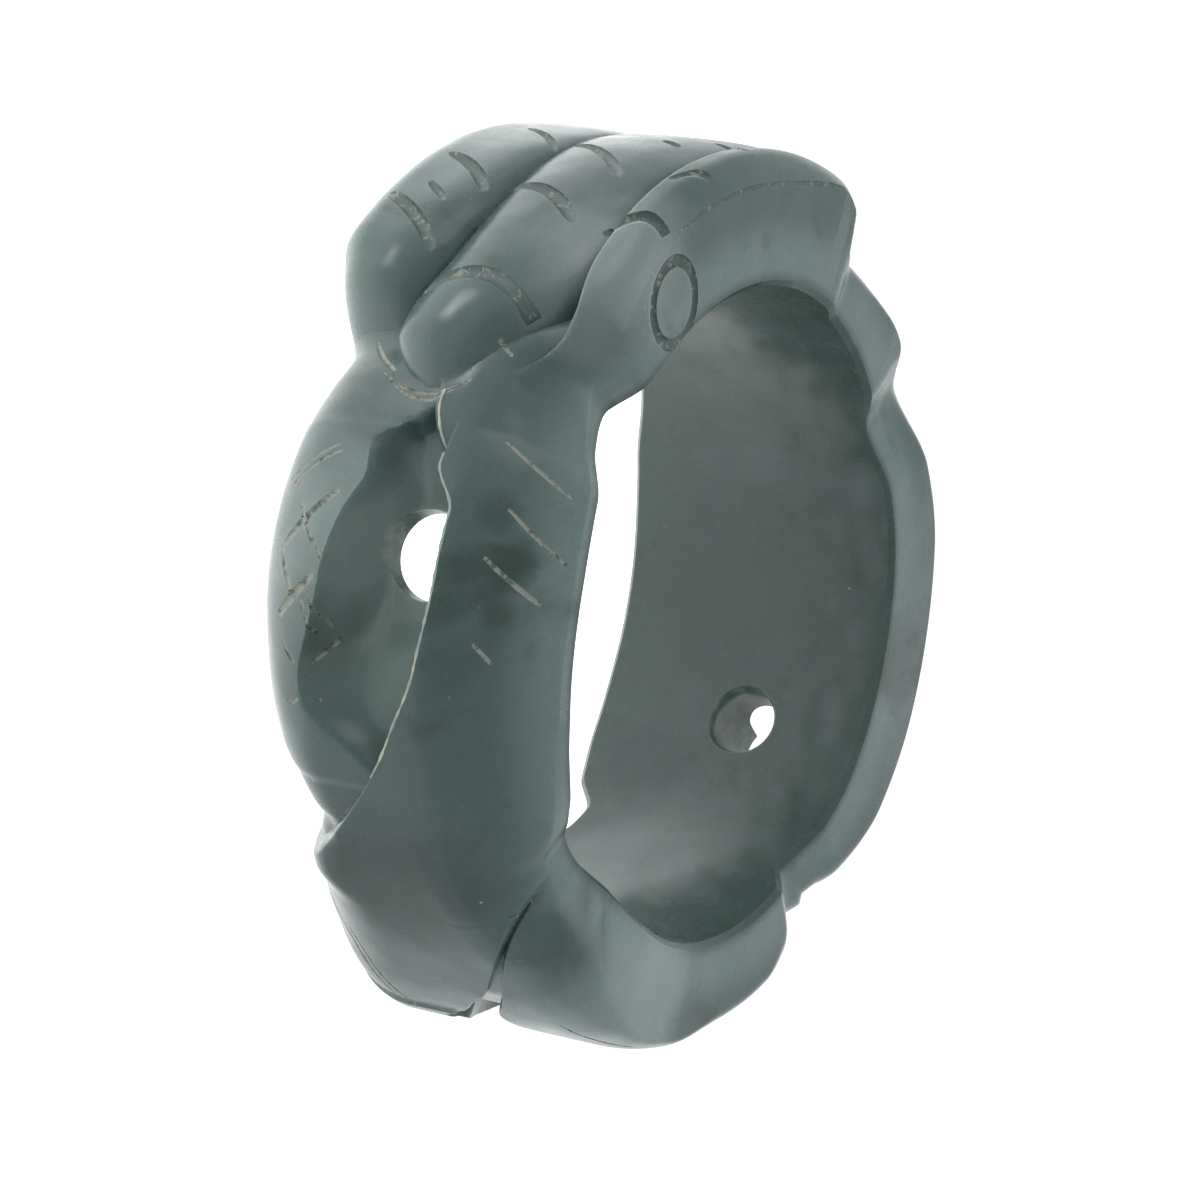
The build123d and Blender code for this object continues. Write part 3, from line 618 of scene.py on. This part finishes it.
def wandering(tree, spot, size, by, detail):
    """The place of each point moved about by noise, so that what is drawn there has uneven edges."""
    noise = add(tree, "ShaderNodeTexNoise", Vector=spot, Scale=1 / size, Detail=detail).outputs["Color"]
    shift = add(tree, "ShaderNodeVectorMath", {"operation": "SCALE"}, i0=noise, Scale=by).outputs[0]
    return add(tree, "ShaderNodeVectorMath", total, i0=spot, i1=shift).outputs[0]


def lay_spots(tree, colour, drawn_at, drift, rows, full, edge):
    """Lays each row's tone over a colour round its place, from full to edge as shares of its size."""
    for one in rows:
        middle = place(one["angle"], bore_radius + one["over"] * mm, one["across"] * half_width)
        middle += Vector((0.5, 0.5, 0.5)) * drift
        away_from = add(tree, "ShaderNodeVectorMath", apart, i0=drawn_at, i1=middle).outputs["Value"]
        size = one["size"] * mm
        colour = lay(tree, colour, one["tone"], away_from, edge * size, full * size, one["share"])
    return colour


# Jadeite: a tough, fine-grained stone, polished to a waxy gloss. Light goes a little way in, so
# thin walls look paler than the thick strands, and patches in it are greener or greyer.
# Typical jadeite has an IOR of 1.66, and a hand polish leaves it at a roughness of 0.2 to 0.3.
stone_ior = 1.66
jade, tree, shader, spot = new_material("polished_jadeite")
flat = add(tree, "ShaderNodeVectorMath", product, i0=spot, i1=(1.0, 1.0, 0.0)).outputs[0]
from_axis = add(tree, "ShaderNodeVectorMath", {"operation": "LENGTH"}, i0=flat).outputs["Value"]
colour = linear("#354743")
# Painted light: the colour turns paler from 0.1 to 0.5 mm over the bore, on the thin lens floors and low
# rims, for light shining through the stone. It turns darker again from 0.8 to 2.2 mm, on the thick
# strands.
colour = lay(tree, colour, "#637774", from_axis, bore_radius + 0.1 * mm, bore_radius + 0.5 * mm)
colour = lay(tree, colour, "#455957", from_axis, bore_radius + 0.8 * mm, bore_radius + 2.2 * mm)
colour = lay_patches(tree, colour, "#283b35", spot, 3.2 * mm, 0.52, 0.72, 0.75, rough=0.6, warp=0.6)
lean = (math.radians(20), math.radians(35), 0)
drawn_out = add(tree, "ShaderNodeMapping", Vector=spot, Rotation=lean, Scale=(1, 1, 0.5)).outputs[0]
colour = lay_patches(tree, colour, "#4b605e", drawn_out, 2.1 * mm, 0.50, 0.80, 0.4)
colour = lay_patches(tree, colour, "#4c5f5b", spot, 0.16 * mm, 0.3, 0.7, 0.22, detail=2.0, rough=0.7)
# Paler and darker patches where the photograph has them. Some are painted light and shade, marked below,
# and the rest are mottling in the stone.
#   over, size: millimetres over the bore, and how far the cloud reaches from its middle
#   across: share of the half width
mottling_and_painted_light = named_rows(
    "angle over across size tone share",
    # Painted sheen on the head's near side
    (226, 3.2, 0.85, 3.2, "#7b8584", 0.8),
    (237, 2.8, 0.80, 1.6, "#687573", 0.6),
    # Painted light on the near rim, and a painted reflection on the far flank
    (345, 1.4, 0.80, 4.0, "#829090", 0.85),
    (276, 2.6, -0.70, 4.0, "#56615f", 0.7),
    # Mottling in the stone
    (232, 3.0, -0.85, 2.0, "#51655f", 0.6),
    # Painted light in the deep lens by the first hole, and inside the bore
    (268, 1.4, -0.25, 3.4, "#80908c", 0.9),
    (286, 1.6, -0.10, 2.6, "#5a7169", 0.6),
    (35, 0.0, -0.10, 3.6, "#626c6b", 0.8),
    # Painted shade inside the bore
    (58, 0.0, -0.50, 2.2, "#2c3d3b", 0.5),
    (95, 0.0, -0.20, 5.0, "#2d403c", 0.5),
    # Mottling in the stone
    (314, 3.0, 0.00, 3.6, "#223431", 0.75),
    (268.6, 1.9, 0.76, 0.9, "#263a31", 0.6),
    (275.4, 1.9, 0.74, 0.8, "#263a31", 0.6),
    (262, 2.2, 0.62, 0.8, "#2a3e36", 0.5),
    # Painted shade on the head's ridge tops, and in the slot below the near strand's end
    (210, 3.6, 0.20, 3.0, "#26383a", 0.5),
    (335, 2.6, 0.30, 1.0, "#2c3f39", 0.5),
)
mottling_and_light_drift = 1.6 * mm
mottling_and_light_place = wandering(tree, spot, 1.5 * mm, mottling_and_light_drift, 3.0)
colour = lay_spots(tree, colour, mottling_and_light_place, mottling_and_light_drift, mottling_and_painted_light, 0.25, 1.0)
# Pale specks, drawn at their real size of about 0.1 mm
speck_drift = 0.12 * mm
ragged = wandering(tree, spot, speck_drift, speck_drift, 2.0)
cells = add(tree, "ShaderNodeTexVoronoi", Vector=ragged, Scale=1 / (0.9 * mm)).outputs
chosen = add(
    tree, "ShaderNodeMapRange", smooth, Value=cells["Color"], From_Min=0.60, From_Max=0.75, To_Max=0.6
)
speckled = lay(tree, colour, "#a9aca2", cells["Distance"], 0.07, 0.02)
colour = add(
    tree, "ShaderNodeMix", {"data_type": "RGBA"}, i0=chosen.outputs[0], i6=colour, i7=speckled
).outputs[2]
# Rust-brown flecks of iron, placed as the photograph has them
flecks = named_rows(
    "angle over across size tone share",
    (331.8, 3.05, 0.80, 0.12, "#8f4a0c", 1.0),
    (300.5, 2.9, -0.30, 0.09, "#8f4a0c", 1.0),
    (247.5, 2.5, -0.22, 0.08, "#8f4a0c", 1.0),
    (262.5, 2.5, -0.70, 0.07, "#8f4a0c", 1.0),
)
colour = lay_spots(tree, colour, ragged, speck_drift, flecks, 0.5, 1.6)
tree.links.new(colour, shader.inputs["Base Color"])
rubbed = add(tree, "ShaderNodeTexNoise", Vector=spot, Scale=1 / (1.1 * mm), Detail=4.0, Roughness=0.65)
rubbed = rubbed.outputs["Fac"]
gloss = add(
    tree,
    "ShaderNodeMapRange",
    smooth,
    Value=rubbed,
    From_Min=0.3,
    From_Max=0.7,
    To_Min=0.20,
    To_Max=0.30,
)
tree.links.new(gloss.outputs[0], shader.inputs["Roughness"])
# The hand polish leaves a slight waviness and fine scratches, which run several ways. The
# scratches are drawn about 0.06 mm wide, coarser than real ones, so that they show at all.
waves = add(tree, "ShaderNodeTexNoise", Vector=spot, Scale=1 / (1.9 * mm), Detail=1.0)
waves = add(tree, "ShaderNodeMapRange", smooth, Value=waves.outputs["Fac"], To_Max=0.05 * mm)
relief = waves.outputs[0]
scratch_ways = named_rows(
    "turn lengths",
    ((0, 25, 0), (1, 1, 0.06)),
    ((60, 10, 30), (0.05, 1, 1)),
    ((-35, 0, 80), (1, 0.06, 1)),
)
for way in scratch_ways:
    turn = tuple(math.radians(degrees) for degrees in way["turn"])
    drawn_out = add(tree, "ShaderNodeMapping", Vector=spot, Rotation=turn, Scale=way["lengths"]).outputs[0]
    line = add(tree, "ShaderNodeTexNoise", Vector=drawn_out, Scale=1 / (0.06 * mm), Detail=1.0)
    scratch = add(
        tree,
        "ShaderNodeMapRange",
        smooth,
        Value=line.outputs["Fac"],
        From_Min=0.66,
        From_Max=0.74,
        To_Max=-0.0006 * mm,
    )
    relief = add(tree, "ShaderNodeMath", total, i0=relief, i1=scratch.outputs[0]).outputs[0]
bump = add(tree, "ShaderNodeBump", Strength=1.0, Distance=1.0, Height=relief)
tree.links.new(bump.outputs["Normal"], shader.inputs["Normal"])
shader.inputs["IOR"].default_value = stone_ior
shader.inputs["Specular IOR Level"].default_value = 0.28
shader.inputs["Subsurface Weight"].default_value = 0.5
shader.inputs["Subsurface Radius"].default_value = (0.7, 1.0, 0.95)
shader.inputs["Subsurface Scale"].default_value = 0.8 * mm

# The same stone as the wheel leaves it: matt and a little paler, with polishing paste dried in
# patches. A ground surface has a roughness of about 0.5.
cut_jade, tree, shader, spot = new_material("wheel_cut_jadeite")
along = add(tree, "ShaderNodeSeparateXYZ", Vector=spot).outputs["X"]
# Less of it stays in the deep cuts across the head than in the hatching on the strands
least = add(
    tree,
    "ShaderNodeMapRange",
    smooth,
    Value=along,
    From_Min=-7 * mm,
    From_Max=-5 * mm,
    To_Min=0.54,
    To_Max=0.40,
)
patchy = add(tree, "ShaderNodeTexNoise", Vector=spot, Scale=1 / (0.22 * mm), Detail=3.0, Roughness=0.75)
paste = add(
    tree, "ShaderNodeMath", {"operation": "SUBTRACT"}, i0=patchy.outputs["Fac"], i1=least.outputs[0]
).outputs[0]
colour = lay(tree, linear("#3f524f"), "#8f9084", paste, 0.0, 0.10, 0.75)
tree.links.new(colour, shader.inputs["Base Color"])
shader.inputs["Roughness"].default_value = 0.5
shader.inputs["IOR"].default_value = stone_ior
shader.inputs["Specular IOR Level"].default_value = 0.4

# The burr's wall in the same stone, worn to a low gloss by whatever was threaded through it
worn_jade, tree, shader, spot = new_material("drilled_jadeite")
colour = lay_patches(tree, linear("#526661"), "#7c8b86", spot, 0.5 * mm, 0.4, 0.7, detail=4.0, rough=0.7)
tree.links.new(colour, shader.inputs["Base Color"])
shader.inputs["Roughness"].default_value = 0.38
shader.inputs["IOR"].default_value = stone_ior

# Painted highlight: a pale bead along the near strand's seam edge, for the light that its polished edge
# catches, with a roughness near 0.7
seam_highlight, tree, shader, spot = new_material("painted_seam_highlight")
colour = lay_patches(tree, linear("#8fa09b"), "#b9b8a6", spot, 0.5 * mm, 0.4, 0.6, detail=2.0)
tree.links.new(colour, shader.inputs["Base Color"])
shader.inputs["Roughness"].default_value = 0.7

# A round edge is swept along each path. Where it is a wheel's, what it covers is taken away.
sweep = bpy.data.node_groups.new("wheel_edge_sweep", "GeometryNodeTree")
sweep_inputs = {"Geometry": "Geometry", "Unit": "Float", "Edge sides": "Int", "Finish": "Material"}
for name, kind in sweep_inputs.items():
    sweep.interface.new_socket(name, in_out="INPUT", socket_type="NodeSocket" + kind)
sweep.interface.new_socket("Geometry", in_out="OUTPUT", socket_type="NodeSocketGeometry")
given = add(sweep, "NodeGroupInput").outputs
radius = add(sweep, "GeometryNodeInputRadius").outputs[0]
scale = add(sweep, "ShaderNodeMath", product, i0=radius, i1=given["Unit"])
profile = add(sweep, "GeometryNodeCurvePrimitiveCircle", Resolution=given["Edge sides"], Radius=1.0)
swept = add(
    sweep,
    "GeometryNodeCurveToMesh",
    Curve=given["Geometry"],
    Profile_Curve=profile.outputs["Curve"],
    Scale=scale.outputs[0],
    Fill_Caps=True,
)
plain = add(sweep, "GeometryNodeRealizeInstances", Geometry=swept.outputs["Mesh"])
finish = add(sweep, "GeometryNodeSetMaterial", Geometry=plain.outputs[0], Material=given["Finish"])
add(sweep, "NodeGroupOutput", Geometry=finish.outputs[0])

sockets = {item.name: item.identifier for item in sweep.interface.items_tree if item.in_out == "INPUT"}


def plain_mesh(piece):
    """The mesh of an object with its modifiers applied."""
    return bpy.data.meshes.new_from_object(piece.evaluated_get(bpy.context.evaluated_depsgraph_get()))


def swept_mesh(name, paths, sides, finish):
    """A round edge along paths: each is its points, the edge's radius at each, and if it closes."""
    curve = bpy.data.curves.new(name, "CURVE")
    curve.dimensions = "3D"
    for spots, radii, closed in paths:
        spline = curve.splines.new("POLY")
        spline.points.add(len(spots) - 1)
        for point, spot, radius in zip(spline.points, spots, radii):
            point.co = (*spot, 1.0)
            point.radius = radius / mm
        spline.use_cyclic_u = closed
    piece = bpy.data.objects.new(name, curve)
    bpy.context.scene.collection.objects.link(piece)
    work = piece.modifiers.new("round_edge", "NODES")
    work.node_group = sweep
    work[sockets["Unit"]] = mm
    work[sockets["Edge sides"]] = sides
    work[sockets["Finish"]] = finish
    mesh = plain_mesh(piece)
    bpy.data.objects.remove(piece)
    return mesh


both_faces = (1, -1)
wheel_paths = [(*cut_path(**cut), False) for cut in wheel_cuts]
wheel_paths += [(*eye_path(face_side), True) for face_side in both_faces]
wheel_paths += [(*edge_line_path(face_side), False) for face_side in both_faces]
wheel_paths = [(spots, [edge] * len(spots), closed) for spots, edge, closed in wheel_paths]
wheel_mesh = swept_mesh("wheel_work", wheel_paths, 16, cut_jade)
cutters = bpy.data.objects.new("cutters", wheel_mesh)
bpy.context.scene.collection.objects.link(cutters)

wheel_mesh.materials.append(worn_jade)
burr_sides = 48
burr_turns = [2 * math.pi * k / burr_sides for k in range(burr_sides)]
tool = bmesh.new()
tool.from_mesh(wheel_mesh)
wheel_faces = len(tool.faces)
for hole in holes:
    out_way = place(hole["angle"], 1, 0)
    over = Vector((0, 0, 1))
    across_way = over.cross(out_way)
    rings = []
    for full_radius, level in burr:
        middle = place(hole["angle"], bore_radius + level * mm, hole["across"] * half_width)
        radius = full_radius * hole["wide"] * mm
        ways = [over * math.cos(t) + across_way * math.sin(t) for t in burr_turns]
        rings.append([tool.verts.new(middle + way * radius) for way in ways])
    for one, two in zip(rings, rings[1:]):
        for k in range(burr_sides):
            n = (k + 1) % burr_sides
            tool.faces.new((one[k], one[n], two[n], two[k]))
    tool.faces.new(rings[0][::-1])
    tool.faces.new(rings[-1])
tool.faces.ensure_lookup_table()
bmesh.ops.recalc_face_normals(tool, faces=tool.faces)
for face in tool.faces[wheel_faces:]:
    face.material_index = 1
tool.to_mesh(wheel_mesh)
tool.free()

# A pale bead lies where the near strand's far edge stands over the lens: a painted highlight of that edge.
seam_start, seam_end = 26.5, 76.5  # degrees after the crossing
neck_turn = neck[-1]["angle"] - crossings[2]  # up to there the neck's edge may be the outer one
seam_inset = 0.9  # share of the edge's rounding
seam_steps = 129
thin_bead = 0.022 * mm
bead_swell = 0.026 * mm
seam_spots = []
seam_radii = []
for k in range(seam_steps + 1):
    turn = seam_start + (seam_end - seam_start) * k / seam_steps
    angle = crossings[2] + turn
    edge = read(strand_run, "turn", turn, "far")
    if turn < neck_turn:
        edge = min(edge, read(neck, "angle", angle, "far"))
    across = edge + seam_inset * read(strand_run, "turn", turn, "soft_far")
    over = bore_radius + height(section(angle), across)
    seam_spots.append(place(angle, over, across * half_width))
    # Two waves of different lengths make the bead uneven
    swell = 0.5 + 0.5 * math.sin(0.9 * k) * math.sin(0.37 * k + 1)
    seam_radii.append(thin_bead + bead_swell * swell)
bead_mesh = swept_mesh("seam_line", [(seam_spots, seam_radii, False)], 8, seam_highlight)

ring_mesh.materials.append(jade)
cutting = ring.modifiers.new("cutting", "BOOLEAN")
cutting.object = cutters
cutting.operation = "DIFFERENCE"
cutting.solver = "MANIFOLD"
cutting.material_mode = "TRANSFER"
cut_ring = plain_mesh(ring)
ring.modifiers.clear()
ring.data = cut_ring
bpy.data.objects.remove(cutters)
whole = bmesh.new()
whole.from_mesh(cut_ring)
stone_faces = len(whole.faces)
# The bead of painted highlight joins the ring's mesh with its own material.
whole.from_mesh(bead_mesh)
whole.faces.ensure_lookup_table()
for face in whole.faces[stone_faces:]:
    face.material_index = len(cut_ring.materials)
whole.to_mesh(cut_ring)
whole.free()
cut_ring.materials.append(seam_highlight)
cut_ring.shade_smooth()
cut_ring.set_sharp_from_angle(angle=math.radians(38))
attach(ring, "root")
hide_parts("carved_ring")


# Table
# A wide opal acrylic sheet, lit from below and brightest under the middle, which the ring lies
# on. It stays white in the picture and gives the ring's lower sides their light.

low = cad_box[0][2]
table_mesh = bpy.data.meshes.new("board")
reach = 1.5  # metres to each side
corners = [(-reach, -reach, low), (reach, -reach, low), (reach, reach, low), (-reach, reach, low)]
table_mesh.from_pydata(corners, [], [(0, 1, 2, 3)])
board = bpy.data.objects.new("board", table_mesh)
bpy.context.scene.collection.objects.link(board)
# Opal acrylic scatters the light of the lamps below it evenly and has a matt face, with a
# roughness near 0.9. The small lamp to the front left gives the nose its highlight.
opal_sheet, tree, shader, spot = new_material("opal_acrylic_sheet")
#   x, y: where the lamp is, in millimetres
#   full, edge: how far round it the sheet is at its brightest and where that has faded, the same
#   middle, rest: how strongly the sheet glows within and beyond these
lamps = named_rows(
    "x y full edge middle rest",
    (-4.0, -1.0, 12.0, 18.0, 1.75, 0.80),
    (-11.8, -15.6, 1.2, 2.0, 7.0, 0.0),
)
glows = []
for one in lamps:
    middle = (one["x"] * mm, one["y"] * mm, low)
    away_from = add(tree, "ShaderNodeVectorMath", apart, i0=spot, i1=middle).outputs["Value"]
    fading = add(
        tree,
        "ShaderNodeMapRange",
        smooth,
        Value=away_from,
        From_Min=one["full"] * mm,
        From_Max=one["edge"] * mm,
        To_Min=one["middle"],
        To_Max=one["rest"],
    )
    glows.append(fading.outputs[0])
glow = add(tree, "ShaderNodeMath", total, i0=glows[0], i1=glows[1]).outputs[0]
tree.links.new(glow, shader.inputs["Emission Strength"])
shader.inputs["Emission Color"].default_value = linear("#ffffff")
shader.inputs["Base Color"].default_value = linear("#9c9c9c")
shader.inputs["Roughness"].default_value = 0.9
table_mesh.materials.append(opal_sheet)


# Camera and lights
# A long lens at the photograph's angle, turned with the picture, and soft studio panels.

elevation = math.radians(29.07)
roll = (-0.1614, 0.9869)  # cosine and sine of the picture's turn
distance = 110.5 * mm
away = Vector((0, -math.cos(elevation), math.sin(elevation)))
level_up = Vector((0, math.sin(elevation), math.cos(elevation)))
side = Vector((1, 0, 0))
right = roll[0] * side + roll[1] * level_up
up = -roll[1] * side + roll[0] * level_up
optics = bpy.data.cameras.new("long_lens")
optics.lens = 120
optics.sensor_width = 36
optics.shift_x = -0.00625
optics.shift_y = -0.00467
optics.clip_start = 0.01
camera = bpy.data.objects.new("camera", optics)
camera.matrix_world = Matrix.Translation(away * distance) @ Matrix((right, up, away)).transposed().to_4x4()
bpy.context.scene.collection.objects.link(camera)
bpy.context.scene.camera = camera

# Soft panels, by the way to them as the picture shows it: right, up and towards the camera
panels = named_rows(
    "name to reach size radiance",
    ("top_panel", (0.25, 0.95, 0.55), 0.5, (0.40, 0.30), 1.35),
    ("right_panel", (0.95, 0.0, 0.30), 0.5, (0.35, 0.60), 0.9),
)
for panel in panels:
    light = bpy.data.lights.new(panel["name"], "AREA")
    light.shape = "RECTANGLE"
    light.size, light.size_y = panel["size"]
    light.energy = panel["radiance"] * math.pi * light.size * light.size_y
    lamp = bpy.data.objects.new(panel["name"], light)
    way = (panel["to"][0] * right + panel["to"][1] * up + panel["to"][2] * away).normalized()
    lamp.location = way * panel["reach"]
    lamp.rotation_euler = way.to_track_quat("Z", "Y").to_euler()
    bpy.context.scene.collection.objects.link(lamp)
world = bpy.data.worlds.new("white_tent")
world.use_nodes = True
tree = world.node_tree
sky = tree.nodes["Background"]
sky.inputs["Color"].default_value = linear("#f4f6f8")
way = add(tree, "ShaderNodeTexCoord").outputs["Generated"]
facing = add(tree, "ShaderNodeVectorMath", {"operation": "DOT_PRODUCT"}, i0=way, i1=away)
# The tent is a little darker on the side where the camera stands
strength = add(
    tree,
    "ShaderNodeMapRange",
    smooth,
    Value=facing.outputs["Value"],
    From_Min=0.35,
    From_Max=0.95,
    To_Min=0.82,
    To_Max=0.60,
)
tree.links.new(strength.outputs[0], sky.inputs["Strength"])
bpy.context.scene.world = world
bpy.context.scene.view_settings.view_transform = "Standard"
